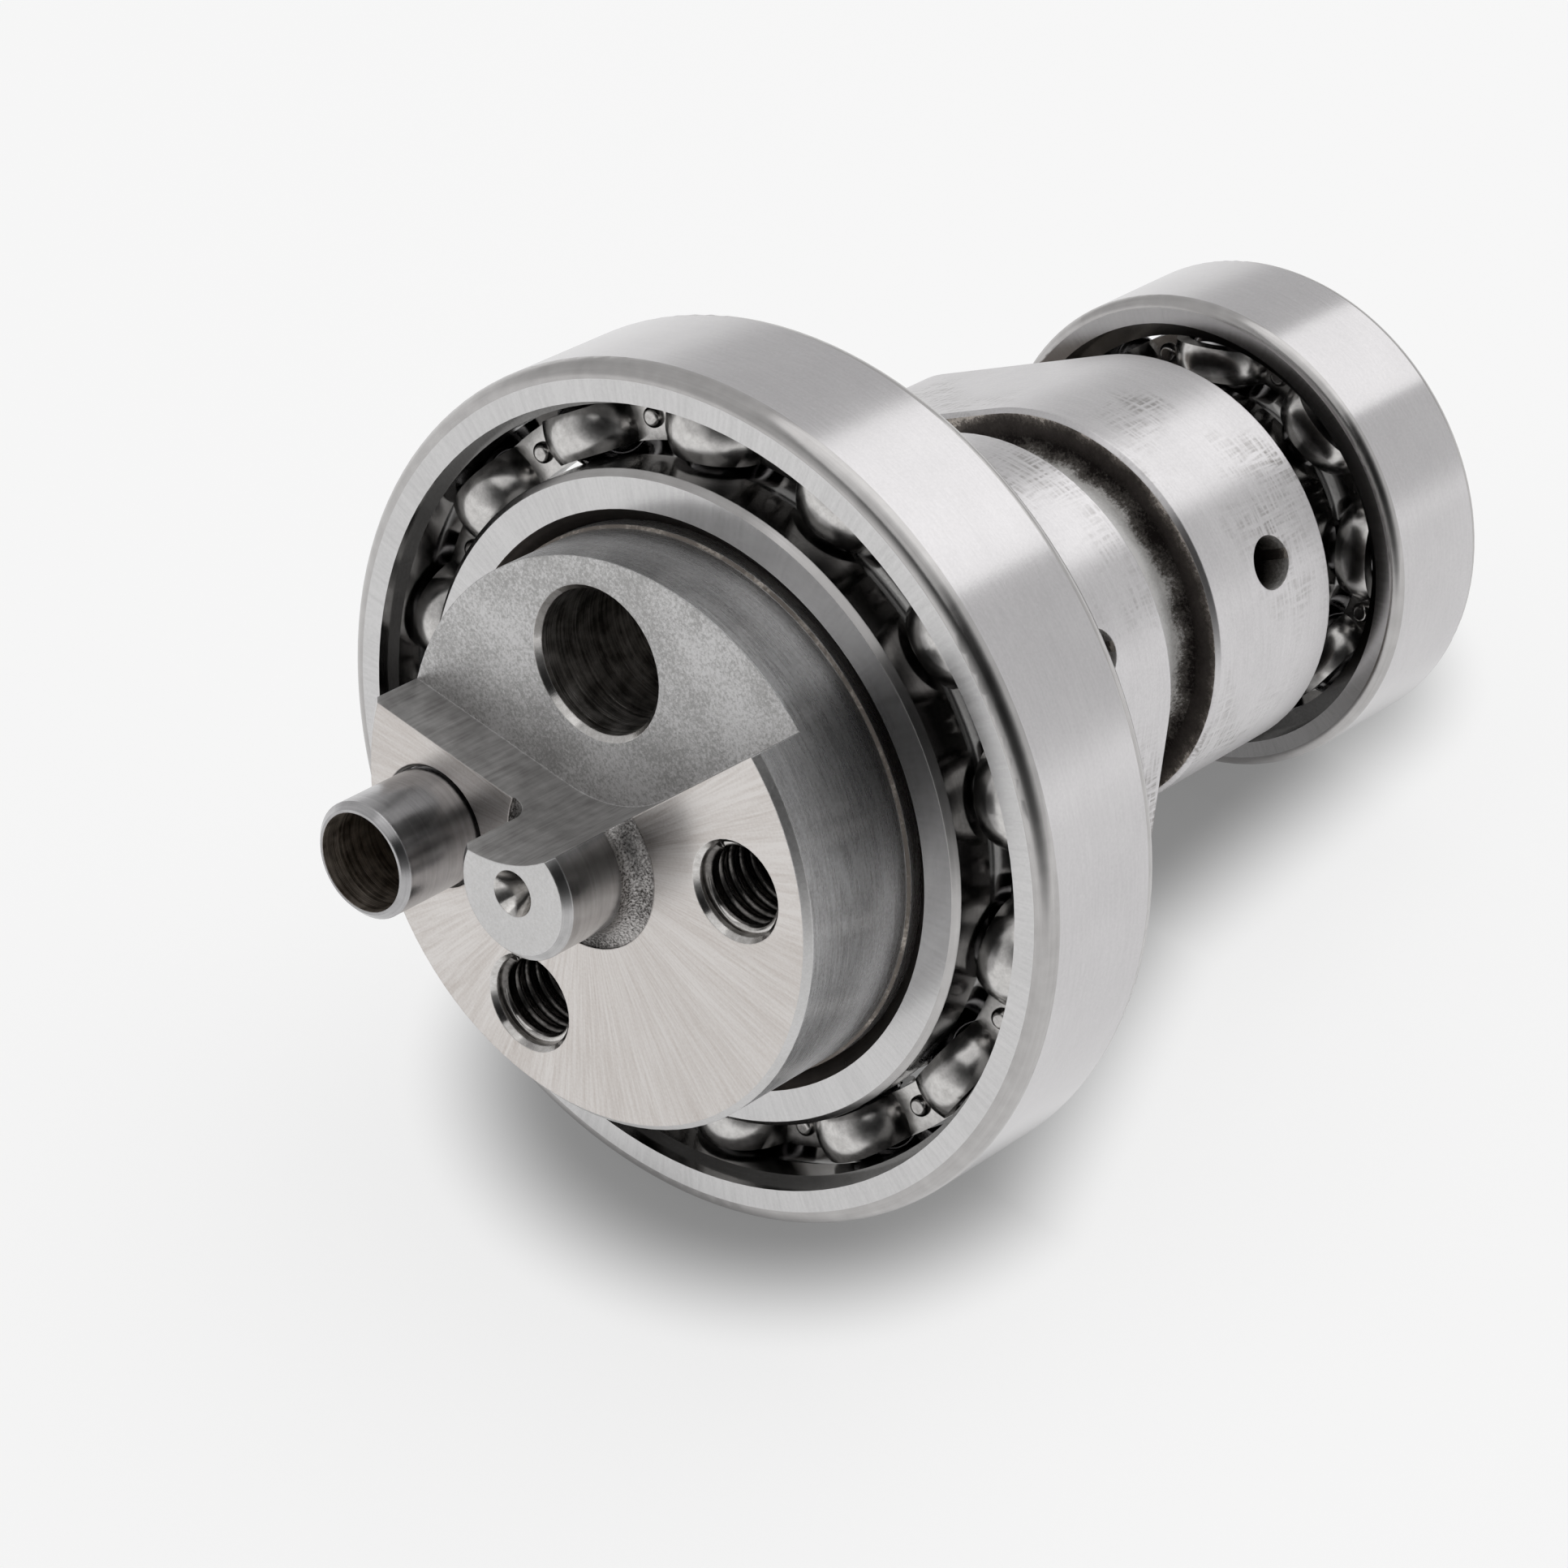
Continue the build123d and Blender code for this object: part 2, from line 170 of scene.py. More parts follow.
def ground_round(name, light, dark, rough, spacing, chatter=0.0, smear=0.55, edge=EDGE_BREAK):
    """Cylindrically ground steel: the wheel leaves fine hoops around the shaft, so a highlight is
    crisp around the cylinder and smears along it. Chatter, where there is a share of it, crosses
    axial lines with hoops in patches."""
    made, tree = new_material(name)
    place = millimetres(tree)
    hoops = add(tree, "ShaderNodeTexNoise", {
        "Vector": millimetres(tree, stretch=(HOOP_SHARE, HOOP_SHARE, 1)), "Scale": 1 / spacing,
        "Detail": 3.0, "Roughness": 0.6}).outputs["Fac"]
    grain = add(tree, "ShaderNodeTexNoise", {
        "Vector": place, "Scale": 1 / GRIND_GRAIN, "Detail": 2.0}).outputs["Fac"]
    cloud = add(tree, "ShaderNodeTexNoise", {
        "Vector": place, "Scale": 1 / GRIND_CLOUD, "Detail": 3.0}).outputs["Fac"]
    ridges = add(tree, "ShaderNodeMath", {0: hoops, 1: grain}, operation="ADD").outputs[0]
    total = add(tree, "ShaderNodeMath", {0: ridges, 1: cloud}, operation="ADD").outputs[0]
    level = add(tree, "ShaderNodeMapRange", {
        "Value": total, "From Min": 1.05, "From Max": 1.95}).outputs["Result"]
    shade = add(tree, "ShaderNodeValToRGB", {
        "Fac": level}, stops=[(0.0, dark), (1.0, light)]).outputs["Color"]
    if chatter:
        lines = []
        for stretch in ((1, 1, AXIAL_SHARE), (AROUND_SHARE, AROUND_SHARE, 1)):
            line = add(tree, "ShaderNodeTexNoise", {
                "Vector": millimetres(tree, stretch=stretch), "Scale": 1 / CHATTER_LINE,
                "Detail": 1.0}).outputs["Fac"]
            lines.append(add(tree, "ShaderNodeMapRange", {
                "Value": line, "From Min": 0.36, "From Max": 0.64}).outputs["Result"])
        crossed = add(tree, "ShaderNodeMath", {
            0: lines[0], 1: lines[1]}, operation="MULTIPLY").outputs[0]
        dwell = add(tree, "ShaderNodeTexNoise", {
            "Vector": place, "Scale": 1 / CHATTER_PATCH, "Detail": 3.0}).outputs["Fac"]
        patch = add(tree, "ShaderNodeMapRange", {
            "Value": dwell, "From Min": 0.47, "From Max": 0.68}).outputs["Result"]
        weighted = add(tree, "ShaderNodeMath", {
            0: crossed, 1: patch}, operation="MULTIPLY").outputs[0]
        ridges = add(tree, "ShaderNodeMath", {
            0: weighted, 1: 6.0, 2: ridges}, operation="MULTIPLY_ADD").outputs[0]
        share = add(tree, "ShaderNodeMath", {
            0: weighted, 1: chatter}, operation="MULTIPLY").outputs[0]
        shade = add(tree, "ShaderNodeMix", {
            "Factor": share, "A": shade, "B": linear(CHATTER_SHADE)},
            data_type="RGBA").outputs["Result"]
    gloss = add(tree, "ShaderNodeMapRange", {
        "Value": hoops, "To Min": rough * 0.85, "To Max": rough * 1.2}).outputs["Result"]
    steel(tree, shade, gloss, relief(tree, ridges, GRIND_DEPTH, edge),
          Anisotropic=smear, Tangent=smear_along_shaft(tree))
    return made


def ground_flat(name, light, dark, rough, spacing, depth=0.002, edge=EDGE_BREAK):
    """Face ground steel: the cup wheel leaves fine lines that run out from the shaft's centre,
    their spacing given at the line radius."""
    made, tree = new_material(name)
    lines = LINE_RADIUS / spacing
    flat = millimetres(tree, stretch=(1, 1, 0))
    away = add(tree, "ShaderNodeVectorMath", {0: flat}, operation="NORMALIZE").outputs[0]
    change = add(tree, "ShaderNodeVectorMath", {
        0: flat, 1: (LINE_CHANGE, LINE_CHANGE, 0)}, operation="MULTIPLY").outputs[0]
    path = add(tree, "ShaderNodeVectorMath", {0: away, 1: change}, operation="ADD").outputs[0]
    fine = add(tree, "ShaderNodeTexNoise", {
        "Vector": path, "Scale": lines, "Detail": 4.0, "Roughness": 0.65}).outputs["Fac"]
    broad = add(tree, "ShaderNodeTexNoise", {
        "Vector": path, "Scale": lines / LINE_BROADER, "Detail": 2.0}).outputs["Fac"]
    grain = add(tree, "ShaderNodeTexNoise", {
        "Vector": millimetres(tree), "Scale": 1 / GRIND_GRAIN, "Detail": 2.0}).outputs["Fac"]
    both = add(tree, "ShaderNodeMath", {
        0: fine, 1: 2.0, 2: broad}, operation="MULTIPLY_ADD").outputs[0]
    total = add(tree, "ShaderNodeMath", {
        0: grain, 1: 0.7, 2: both}, operation="MULTIPLY_ADD").outputs[0]
    level = add(tree, "ShaderNodeMapRange", {
        "Value": total, "From Min": 1.35, "From Max": 2.15}).outputs["Result"]
    colour = add(tree, "ShaderNodeValToRGB", {
        "Fac": level}, stops=[(0.0, dark), (1.0, light)]).outputs["Color"]
    gloss = add(tree, "ShaderNodeMapRange", {
        "Value": fine, "To Min": rough * 0.8, "To Max": rough * 1.25}).outputs["Result"]
    hoop = add(tree, "ShaderNodeVectorMath", {
        0: away, 1: (0, 0, 1)}, operation="CROSS_PRODUCT").outputs[0]
    steel(tree, colour, gloss, relief(tree, fine, depth, edge), Anisotropic=0.7, Tangent=hoop)
    return made


def hooped(name, light, dark, rough, depth, spacing, contrast=(0.35, 0.65)):
    """Turned, drilled or reamed steel: tool marks of uneven strength around an axis along Z."""
    made, tree = new_material(name)
    hoops = add(tree, "ShaderNodeTexNoise", {
        "Vector": millimetres(tree, stretch=(CUT_SHARE, CUT_SHARE, 1)), "Scale": 1 / spacing,
        "Detail": 4.0, "Roughness": 0.7}).outputs["Fac"]
    stain = add(tree, "ShaderNodeTexNoise", {
        "Vector": millimetres(tree), "Scale": 1 / STAIN, "Detail": 4.0}).outputs["Fac"]
    both = add(tree, "ShaderNodeMath", {0: hoops, 1: stain}, operation="ADD").outputs[0]
    level = add(tree, "ShaderNodeMath", {0: both, 1: 0.5}, operation="MULTIPLY").outputs[0]
    colour = add(tree, "ShaderNodeValToRGB", {
        "Fac": level}, stops=[(contrast[0], dark), (contrast[1], light)]).outputs["Color"]
    gloss = add(tree, "ShaderNodeMapRange", {
        "Value": stain, "To Min": rough * 0.8, "To Max": rough * 1.2}).outputs["Result"]
    steel(tree, colour, gloss, relief(tree, hoops, depth))
    return made


def mottled(name, light, dark, rough, depth, grain, contrast=(0.35, 0.65), edge=EDGE_BREAK):
    """Steel with an even broken-up surface, its grain size given in millimetres."""
    made, tree = new_material(name)
    place = millimetres(tree)
    speck = add(tree, "ShaderNodeTexNoise", {
        "Vector": place, "Scale": 1 / grain, "Detail": 3.0, "Roughness": 0.7}).outputs["Fac"]
    cloud = add(tree, "ShaderNodeTexNoise", {
        "Vector": place, "Scale": 1 / MOTTLE_CLOUD, "Detail": 3.0}).outputs["Fac"]
    level = add(tree, "ShaderNodeMix", {"Factor": 0.3, "A": speck, "B": cloud}).outputs["Result"]
    colour = add(tree, "ShaderNodeValToRGB", {
        "Fac": level}, stops=[(contrast[0], dark), (contrast[1], light)]).outputs["Color"]
    gloss = add(tree, "ShaderNodeMapRange", {
        "Value": speck, "To Min": rough * 0.8, "To Max": rough * 1.2}).outputs["Result"]
    steel(tree, colour, gloss, relief(tree, speck, depth, edge))
    return made


def side_cut(name, light, dark, rough, depth, spacing):
    """Walls cut by the side of a mill: uneven upright streaks and soft stains."""
    made, tree = new_material(name)
    streaks = add(tree, "ShaderNodeTexNoise", {
        "Vector": millimetres(tree, stretch=(1, 1, WALL_SHARE)), "Scale": 1 / spacing,
        "Detail": 3.0, "Roughness": 0.6}).outputs["Fac"]
    stain = add(tree, "ShaderNodeTexNoise", {
        "Vector": millimetres(tree), "Scale": 1 / STAIN, "Detail": 4.0}).outputs["Fac"]
    both = add(tree, "ShaderNodeMath", {0: streaks, 1: stain}, operation="ADD").outputs[0]
    level = add(tree, "ShaderNodeMapRange", {
        "Value": both, "From Min": 0.7, "From Max": 1.3}).outputs["Result"]
    colour = add(tree, "ShaderNodeValToRGB", {
        "Fac": level}, stops=[(0.0, dark), (1.0, light)]).outputs["Color"]
    steel(tree, colour, rough, relief(tree, streaks, depth))
    return made


def graded(name, across, span, stops, rough, depth, speckle):
    """Steel whose shade runs through stops along Z or out from the axis, over a span in
    millimetres, and breaks up into speckles between them."""
    made, tree = new_material(name)
    place = millimetres(tree)
    if across == "radius":
        flat = millimetres(tree, stretch=(1, 1, 0))
        reach = add(tree, "ShaderNodeVectorMath", {
            0: flat}, operation="LENGTH").outputs["Value"]
    else:
        reach = add(tree, "ShaderNodeSeparateXYZ", {0: place}).outputs["Z"]
    run = add(tree, "ShaderNodeMapRange", {
        "Value": reach, "From Min": span[0], "From Max": span[1]}).outputs["Result"]
    grit = add(tree, "ShaderNodeTexNoise", {
        "Vector": place, "Scale": 1 / SCALE_GRIT, "Detail": 4.0, "Roughness": 0.75}).outputs["Fac"]
    cloud = add(tree, "ShaderNodeTexNoise", {
        "Vector": place, "Scale": 1 / SCALE_CLOUD, "Detail": 3.0}).outputs["Fac"]
    both = add(tree, "ShaderNodeMath", {0: grit, 1: cloud}, operation="ADD").outputs[0]
    shift = add(tree, "ShaderNodeMapRange", {
        "Value": both, "From Min": 0.6, "From Max": 1.4,
        "To Min": -speckle, "To Max": speckle}).outputs["Result"]
    total = add(tree, "ShaderNodeMath", {
        0: run, 1: shift}, operation="ADD", use_clamp=True).outputs[0]
    colour = add(tree, "ShaderNodeValToRGB", {"Fac": total}, stops=stops).outputs["Color"]
    steel(tree, colour, rough, relief(tree, grit, depth))
    return made


# Hardened alloy steel of the cam tracks and journals, cylindrically ground: bright, near mirror.
# The tracks have patches of fine crossed chatter where the wheel dwelt
cam_track_ground = ground_round(
    "cam_track_ground_alloy_steel", "#DAD8D9", "#C8C6C7", 0.3, 0.16, chatter=0.8)
journal_ground = ground_round(
    "journal_ground_alloy_steel", "#D1D1D2", "#A3A2A2", 0.27, 0.14, smear=0.92)
# The same steel on the nose face, face ground: pale, warm and satin
nose_face_ground = ground_flat("nose_face_ground_steel", "#DCD8D5", "#C4BDB8", 0.3, 0.3)
# The stub's end and the nose's chamfer, faced on the lathe and left: a fine pale grain
stub_end_faced = mottled("stub_end_faced_steel", "#D4D3D3", "#C3C2C1", 0.36, 0.004, 0.16)
# Pocket floor, end milled and left as cut: flat grey with a fine broken grain
pocket_milled = mottled(
    "pocket_milled_steel", "#CFCECE", "#A3A2A1", 0.4, 0.014, 0.16, (0.41, 0.59))
# Pocket wall, cut by the side of the mill: satin with upright streaks
pocket_wall_cut = side_cut("pocket_wall_cut_steel", "#C3C2C1", "#989695", 0.44, 0.006, 0.22)
# Faces of the cams that no tool reached, and the step at the nose's root: brown-black forging
# scale, greyer by the cams' ground edge
forging_scale = graded(
    "forging_scale_steel", "radius", (10.0, 12.0),
    [(0.0, "#2B2726"), (0.5, "#55504D"), (0.68, "#827C77"), (0.8, "#E4DDD6"), (0.95, "#A69F98"),
     (1.0, "#8A837D")], 0.7, 0.02, 0.22)
# Neck between the cams, polished down from the front cam's edge into the scale of its root
neck_turned = graded(
    "neck_rough_turned_steel", "height", (REAR_LOBE[1], REAR_LOBE[1] + 1.6),
    [(0.0, "#2A2625"), (0.25, "#6A6662"), (0.5, "#D6D4D2"), (1.0, "#F4F3F2")], 0.75, 0.02, 0.3)
# Stub, turned: smooth satin
stub_turned = hooped("stub_turned_steel", "#C5C4C4", "#A6A5A5", 0.22, 0.001, 0.2)
# Root of the stub, cut by a form tool: speckled bright and dark
stub_root_cut = mottled(
    "stub_root_form_cut_steel", "#C4C1BF", "#3E3B39", 0.36, 0.02, 0.12, (0.42, 0.62))
# Bores, drilled and reamed: oily brown-grey with uneven rings
bore_reamed = hooped("bore_reamed_steel", "#D9D6D3", "#6B6763", 0.42, 0.06, 0.2, (0.4, 0.6))
# Oil holes, drilled through, with rough walls: painted light on the wall by the mouth, and painted
# shade that goes black deeper in
oil_hole_drilled = graded(
    "oil_hole_drilled_steel", "radius", (BASE_RADIUS - 3.0, BASE_RADIUS - 0.2),
    [(0.0, "#191715"), (0.45, "#403C39"), (0.8, "#A8A4A0"), (1.0, "#EDEBE9")], 0.55, 0.03, 0.22)
# Countersinks and the centre drilling, cut bright
countersink_cut = mottled("countersink_cut_steel", "#D9D7D5", "#BAB7B4", 0.16, 0.002, 0.3)
# Threads, cut by a tap: darker than the bores, with sharp glints along the crests
thread_tapped = mottled("thread_tapped_steel", "#7D7A78", "#4E4C4A", 0.24, 0.003, 0.3)
# Bearing rings of through-hardened chromium steel, centreless ground outside: bright and crisp
ring_ground = ground_round(
    "bearing_ring_ground_steel", "#CFCDCE", "#C4C2C3", 0.18, 0.12, edge=0)
# Their faces, ground on a plate: pale satin with fine lines
ring_face_ground = ground_flat(
    "bearing_face_ground_steel", "#D3D2D2", "#C5C4C4", 0.24, 0.21, 0.0004, edge=0)
# Raceways and rims, honed: dark and smooth
raceway_honed = ground_round("raceway_honed_steel", "#81807F", "#676665", 0.14, 0.2, edge=0)
# Rounded corners of the rings, tumbled: a little browner than the ground faces beside them
ring_corner_tumbled = hooped(
    "ring_corner_tumbled_steel", "#BEBCBB", "#ADABAA", 0.2, 0.0005, 0.2)
# Chamfers of the inner rings' bores, turned: painted shade, dark brown, for the dark that they reflect
# in the gap by the journal
ring_chamfer_painted_shade = hooped("ring_chamfer_turned_steel", "#544E4A", "#3B3734", 0.3, 0.001, 0.2)
# Bearing balls, lapped to a mirror
ball_lapped = mottled("ball_lapped_steel", "#D0CFD1", "#C6C5C7", 0.05, 0.0, 0.6, edge=0)
# Ribbons of the cages, pressed from strip and tumbled: polished, with soft stains
ribbon_pressed = mottled(
    "ribbon_pressed_strip_steel", "#D6D4D2", "#B4B2B0", 0.22, 0.001, 0.5, (0.3, 0.6), edge=0)
# Rivets, cold headed: smoother than the ribbon
rivet_headed = mottled("rivet_cold_headed_steel", "#C9C7C5", "#A4A19F", 0.2, 0.002, 0.3, edge=0)
# Bore of the hollow dowel, drilled and never cleaned: rough and oily brown
dowel_bored = hooped("dowel_bored_steel", "#D2C9BF", "#766C62", 0.5, 0.05, 0.22, (0.4, 0.6))
# Hollow dowel, turned from bar: satin with fine hoops
dowel_turned = hooped("dowel_turned_steel", "#C1C0C1", "#A2A1A2", 0.24, 0.001, 0.14)


def distance(point, angle, radius):
    """Distance in plan from a hole's axis, for a point in millimetres."""
    a = math.radians(angle)
    return math.hypot(point.x - radius * math.cos(a), point.y - radius * math.sin(a))


def nose_finish(point, facing, radius, outward):
    """Finish of the nose's root, holes, pocket, stub and face, or None elsewhere."""
    flat = abs(facing.z) > FLAT
    on_face = flat and point.z > NOSE_FACE - TOUCH
    at_root = FRONT_BEARING[1] - SLACK < point.z < POCKET_FLOOR - SLACK
    if at_root and facing.z > LEANING and radius > NOSE_RIM:
        return forging_scale
    for angle in BOLT_ANGLES:
        in_hole = distance(point, angle, BOLT_CIRCLE) < THREAD_MOUTH
        if in_hole and not on_face and point.z > BOLT_HOLE_END:
            return countersink_cut if point.z > NOSE_FACE - CHAMFER_REACH else bore_reamed
    in_seat = distance(point, DOWEL_ANGLE, BOLT_CIRCLE) < DOWEL_SEAT + SLACK
    if in_seat and not on_face and point.z > DOWEL_HOLE_END:
        return bore_reamed
    from_pivot = distance(point, PIVOT_ANGLE, PIVOT_RADIUS)
    in_bore = from_pivot < PIVOT_BORE + CHAMFER_REACH
    if in_bore and PIVOT_HOLE_END < point.z < POCKET_FLOOR - HAIR:
        at_mouth = facing.z > SLANTED and point.z > POCKET_FLOOR - CHAMFER_REACH
        return countersink_cut if at_mouth else bore_reamed
    if flat and abs(point.z - POCKET_FLOOR) < TOUCH:
        return pocket_milled
    upright = point.z > POCKET_FLOOR and abs(facing.z) < UPRIGHT
    if upright and from_pivot < POCKET_SWEEP + TOUCH:
        return pocket_wall_cut
    stub_foot = NOSE_FACE - STUB_UNDERCUT - TOUCH
    if point.z > stub_foot and radius < STUB_RADIUS + STUB_ROOT + SLACK:
        if radius < CENTRE_DRILL + TOUCH:
            return countersink_cut
        if flat and point.z > NOSE_FACE + STUB_LENGTH - TOUCH:
            return stub_end_faced
        return stub_turned if point.z > stub_foot + STUB_ROOT else stub_root_cut
    if on_face:
        return nose_face_ground
    if facing.z > LEANING and point.z > NOSE_FACE - CHAMFER_REACH and radius > NOSE_RIM:
        return stub_end_faced
    return pocket_wall_cut if upright and outward < STRAIGHT else None


def shaft_finish(point, facing):
    """Which finish the camshaft has at a point of its surface, from where it is and how it faces."""
    radius = max(math.hypot(point.x, point.y), 1e-6)
    outward = (facing.x * point.x + facing.y * point.y) / radius
    found = nose_finish(point, facing, radius, outward)
    if found:
        return found
    if radius < GALLERY_RADIUS + SLACK and point.z < FRONT_LOBE[1]:
        return oil_hole_drilled
    for low, high in (REAR_LOBE, FRONT_LOBE):
        if low - HAIR < point.z < high + HAIR:
            if abs(facing.z) > FLAT:
                return forging_scale
            on_track = outward > SLANTED and radius > BASE_RADIUS - OIL_MOUTH_DEPTH
            return cam_track_ground if on_track else oil_hole_drilled
    if REAR_LOBE[1] < point.z < FRONT_LOBE[0]:
        return neck_turned
    return journal_ground


def ring_finish(width, inner):
    """Finishes of an inner or outer bearing ring: ground faces and sides, tumbled corners, chamfers in
    the bore painted dark as shade, honed raceway and rims."""
    low, high = width

    def pick(point, facing):
        radius = math.hypot(point.x, point.y)
        outward = (facing.x * point.x + facing.y * point.y) / radius
        along = abs(facing.z)
        from_face = min(point.z - low, high - point.z)
        if along > RING_FLAT and from_face < TOUCH:
            return ring_face_ground
        if inner and outward < -SLANTED:
            return ring_ground if along < UPRIGHT else ring_chamfer_painted_shade
        if inner and along > SLANTED and from_face < RING_CORNER:
            return ring_corner_tumbled
        if not inner and outward > RING_OUTWARD:
            return ring_ground if along < RING_SIDE else ring_corner_tumbled
        return raceway_honed

    return pick


def dowel_finish(point, facing):
    """Finish of the hollow dowel: rough in its bore, turned outside and on its ends."""
    inside = distance(point, DOWEL_ANGLE, BOLT_CIRCLE) < DOWEL_BORE + TOUCH
    return dowel_bored if inside and abs(facing.z) < STRAIGHT else dowel_turned


def dress(node, *finishes, pick=None):
    """Gives a CAD node its finishes, face by face where it has several."""
    slots = nodes[node].data.materials
    slots.clear()
    for finish in finishes:
        slots.append(finish)
    if pick is not None:
        for face in nodes[node].data.polygons:
            face.material_index = finishes.index(pick(face.center / MM, face.normal))


dress(
    "camshaft", cam_track_ground, journal_ground, nose_face_ground, stub_end_faced, pocket_milled,
    pocket_wall_cut, forging_scale, neck_turned, stub_turned, stub_root_cut, bore_reamed,
    oil_hole_drilled, countersink_cut, pick=shaft_finish)
dress("locating_dowel", dowel_turned, dowel_bored, pick=dowel_finish)
for name in nodes:
    if name.endswith("_ring"):
        width = FRONT_BEARING if name.startswith("front") else REAR_BEARING
        dress(name, ring_ground, ring_face_ground, raceway_honed, ring_chamfer_painted_shade,
              ring_corner_tumbled, pick=ring_finish(width, inner="_inner_" in name))
    elif "_ball_" in name:
        dress(name, ball_lapped)
    elif name.endswith("_rivets"):
        dress(name, rivet_headed)
    elif "_cage_" in name:
        dress(name, ribbon_pressed)


def swept_ring(tree, path, corners):
    """Sweeps a four-cornered section, (distance inwards, height) for each corner, along a path
    about Z, and gives the mesh."""
    upright = add(tree, "GeometryNodeSetCurveNormal", {"Curve": path}, mode="Z_UP")
    points = {}
    for i, (inwards, up) in enumerate(corners):
        corner = add(tree, "ShaderNodeCombineXYZ", {"X": inwards, "Y": up})
        points[f"Point {i + 1}"] = corner.outputs[0]
    section = add(tree, "GeometryNodeCurvePrimitiveQuadrilateral", points, mode="POINTS")
    return add(tree, "GeometryNodeCurveToMesh", {
        "Curve": upright.outputs["Curve"], "Profile Curve": section.outputs["Curve"],
        "Fill Caps": True}).outputs["Mesh"]


def thread_tree(ridge_finish, mouth_finish):
    """Geometry Nodes tree: a helical ridge of trapezoid section under a coned mouth, in each hole
    whose thread starts at a point that it is given."""
    tree = bpy.data.node_groups.new("internal_thread", "GeometryNodeTree")
    tree.interface.new_socket("Geometry", in_out="INPUT", socket_type="NodeSocketGeometry")
    for label in ("Outside Radius", "Crest Radius", "Mouth Radius", "Pitch", "Length"):
        tree.interface.new_socket(label, in_out="INPUT", socket_type="NodeSocketFloat")
    tree.interface.new_socket("Geometry", in_out="OUTPUT", socket_type="NodeSocketGeometry")
    given = add(tree, "NodeGroupInput").outputs
    outside, crest, pitch = given["Outside Radius"], given["Crest Radius"], given["Pitch"]
    # Ridge: a helix of the thread's outside radius, from the mouth down, its foot in the wall
    turns = add(tree, "ShaderNodeMath", {
        0: given["Length"], 1: pitch}, operation="DIVIDE").outputs[0]
    spiral = add(tree, "GeometryNodeCurveSpiral", {
        "Resolution": RIDGE_STEPS, "Rotations": turns, "Start Radius": outside, "End Radius": outside,
        "Height": given["Length"]}).outputs["Curve"]
    depth = add(tree, "ShaderNodeMath", {0: outside, 1: crest}, operation="SUBTRACT").outputs[0]
    sunk = add(tree, "ShaderNodeMath", {
        0: depth, 1: -RIDGE_SUNK}, operation="MULTIPLY").outputs[0]
    halves = [add(tree, "ShaderNodeMath", {0: pitch, 1: share}, operation="MULTIPLY").outputs[0]
              for share in (-RIDGE_FOOT, -RIDGE_CREST, RIDGE_CREST, RIDGE_FOOT)]
    ridge = swept_ring(tree, spiral, list(zip((sunk, depth, depth, sunk), halves)))
    lowered = add(tree, "ShaderNodeMath", {
        0: given["Length"], 1: -1.0}, operation="MULTIPLY").outputs[0]
    drop = add(tree, "ShaderNodeCombineXYZ", {"Z": lowered}).outputs[0]
    ridge = add(tree, "GeometryNodeTransform", {
        "Geometry": ridge, "Translation": drop}).outputs["Geometry"]
    # Mouth: a cone from the crest's radius out to its own, marked for its finish
    circle = add(tree, "GeometryNodeCurvePrimitiveCircle", {
        "Resolution": MOUTH_STEPS, "Radius": outside}).outputs["Curve"]
    wider = add(tree, "ShaderNodeMath", {
        0: outside, 1: given["Mouth Radius"]}, operation="SUBTRACT").outputs[0]
    rise = add(tree, "ShaderNodeMath", {
        0: given["Mouth Radius"], 1: crest}, operation="SUBTRACT").outputs[0]
    mouth = swept_ring(tree, circle, [(sunk, 0.0), (depth, 0.0), (wider, rise), (wider, 0.0)])
    mark = add(tree, "GeometryNodeCaptureAttribute", domain="FACE")
    mark.capture_items.new("BOOLEAN", "Mouth")
    mark.inputs["Mouth"].default_value = True
    tree.links.new(mouth, mark.inputs["Geometry"])
    both = add(tree, "GeometryNodeJoinGeometry")
    for part in (ridge, mark.outputs["Geometry"]):
        tree.links.new(part, both.inputs["Geometry"])
    each = add(tree, "GeometryNodeInstanceOnPoints", {
        "Points": given["Geometry"], "Instance": both.outputs["Geometry"]})
    real = add(tree, "GeometryNodeRealizeInstances", {"Geometry": each.outputs["Instances"]})
    whole = add(tree, "GeometryNodeSetMaterial", {
        "Geometry": real.outputs["Geometry"], "Material": ridge_finish})
    coned = add(tree, "GeometryNodeSetMaterial", {
        "Geometry": whole.outputs["Geometry"], "Selection": mark.outputs["Mouth"],
        "Material": mouth_finish})
    add(tree, "NodeGroupOutput", {"Geometry": coned.outputs["Geometry"]})
    return tree


def grown(name, points, tree, values):
    """A plain mesh that a Geometry Nodes tree grows on points, given in millimetres."""
    seed = bpy.data.meshes.new(name + "_points")
    seed.from_pydata([Vector(p) * MM for p in points], [], [])
    holder = bpy.data.objects.new(name, seed)
    bpy.context.scene.collection.objects.link(holder)
    modifier = holder.modifiers.new("grow", "NODES")
    modifier.node_group = tree
    for item in tree.interface.items_tree:
        if item.item_type == "SOCKET" and item.in_out == "INPUT" and item.name in values:
            modifier[item.identifier] = values[item.name]
    depsgraph = bpy.context.evaluated_depsgraph_get()
    mesh = bpy.data.meshes.new_from_object(holder.evaluated_get(depsgraph))
    holder.modifiers.clear()
    holder.data = mesh
    shell = bmesh.new()
    shell.from_mesh(mesh)
    bmesh.ops.recalc_face_normals(shell, faces=shell.faces)
    shell.to_mesh(mesh)
    shell.free()
    # The tree leaves an empty material slot ahead of its finishes
    if mesh.materials[0] is None:
        mesh.materials.pop(index=0)
    mesh.name = name
    return holder


